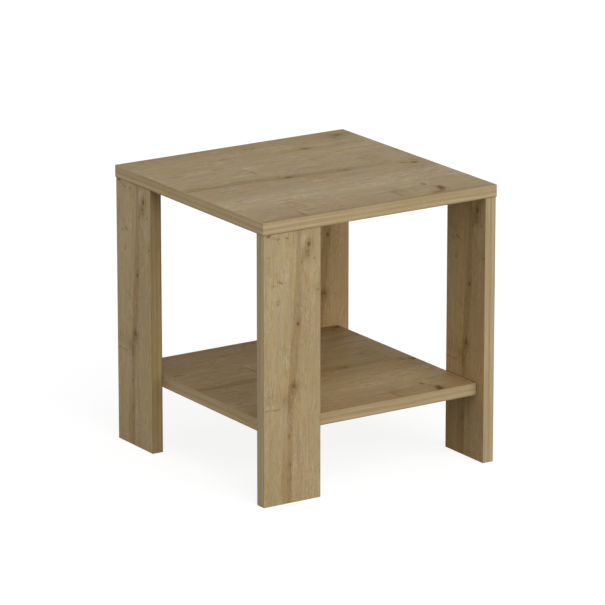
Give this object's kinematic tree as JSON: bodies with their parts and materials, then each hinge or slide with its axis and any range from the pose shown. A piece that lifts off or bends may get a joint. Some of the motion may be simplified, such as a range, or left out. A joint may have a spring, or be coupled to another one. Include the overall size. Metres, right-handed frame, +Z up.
{
  "type": "end table with shelf",
  "caption": "Square oak-decor end table: flat board legs set pinwheel-fashion at the corners carry the top and hold a lower shelf, joined by hidden dowels and cams.",
  "frame": {"origin": "on the floor, under the middle of the top", "axes": "+Z up, -Y to the front, +X to the right seen from the front; each leg's wide face looks out along -Y, +X, +Y or -X in turn"},
  "size_m": [0.4, 0.4, 0.418],
  "materials": {
    "oak_board": "satin rustic-oak decor on chipboard",
    "edge_band": "satin plastic edge band, oak print",
    "cover_disc": "satin plastic disc, oak print",
    "dowel_wood": "bare beech",
    "bolt_steel": "zinc-plated steel",
    "cam_zinc": null
  },
  "bodies": {
    "root": {"cam_cover_discs": "cover_disc", "leg_back_left": "oak_board", "leg_back_left_corner_band": "edge_band", "leg_back_left_foot_band": "edge_band", "leg_back_left_inner_band": "edge_band", "leg_back_right": "oak_board", "leg_back_right_corner_band": "edge_band", "leg_back_right_foot_band": "edge_band", "leg_back_right_inner_band": "edge_band", "leg_cams": "cam_zinc", "leg_front_left": "oak_board", "leg_front_left_corner_band": "edge_band", "leg_front_left_foot_band": "edge_band", "leg_front_left_inner_band": "edge_band", "leg_front_right": "oak_board", "leg_front_right_corner_band": "edge_band", "leg_front_right_foot_band": "edge_band", "leg_front_right_inner_band": "edge_band", "shelf_back_band": "edge_band", "shelf_cam_bolts": "bolt_steel", "shelf_cams": "cam_zinc", "shelf_dowels": "dowel_wood", "shelf_front_band": "edge_band", "shelf_left_band": "edge_band", "shelf_panel": "oak_board", "shelf_right_band": "edge_band", "top_back_band": "edge_band", "top_cam_bolts": "bolt_steel", "top_dowels": "dowel_wood", "top_front_band": "edge_band", "top_left_band": "edge_band", "top_panel": "oak_board", "top_right_band": "edge_band"}
  },
  "joints": []
}
